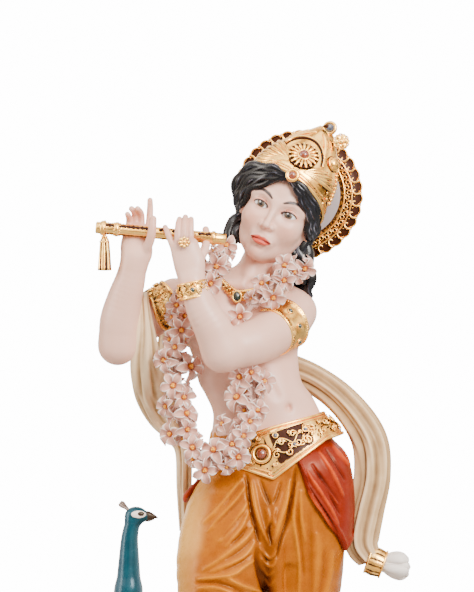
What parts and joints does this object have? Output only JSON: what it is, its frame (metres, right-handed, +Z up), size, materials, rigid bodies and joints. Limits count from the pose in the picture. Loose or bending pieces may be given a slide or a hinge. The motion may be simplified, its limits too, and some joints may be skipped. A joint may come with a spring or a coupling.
{
  "type": "porcelain krishna figure",
  "caption": "Standing flute player in a tall crown with halo, flower garland, shawl and draped dhoti, with a peacock at his side, on a low oval base.",
  "frame": {"origin": "middle of the underside of the base", "axes": "+Z up from the underside to the crown, -Y the way the figure looks, +X towards the figure's left hand"},
  "size_m": [0.3, 0.216, 0.607],
  "materials": {
    "bisque": "satin unglazed porcelain, warm white with blushed joints",
    "gilding": "bright gold lustre over relief, brown in the hollows",
    "flower_bisque": "matt pinkish white petals with orange hearts",
    "hair_enamel": "blue-black glaze, worn to silver grey on the waves",
    "ochre_glaze": "glossy ochre glaze, yellow on the folds",
    "coral_glaze": "glossy coral red glaze",
    "cream_glaze": "soft ivory glaze, beige in the folds",
    "stone_enamel": "dark glassy drops set as stones",
    "teal_glaze": "glossy teal glaze with feather relief",
    "ground_glaze": "pale glazed ground with a gilt rim"
  },
  "bodies": {
    "root": {"figure": "bisque", "halo": "gilding", "garland": "flower_bisque", "flute": "gilding", "peacock": "teal_glaze", "plinth": "ground_glaze"}
  },
  "joints": []
}
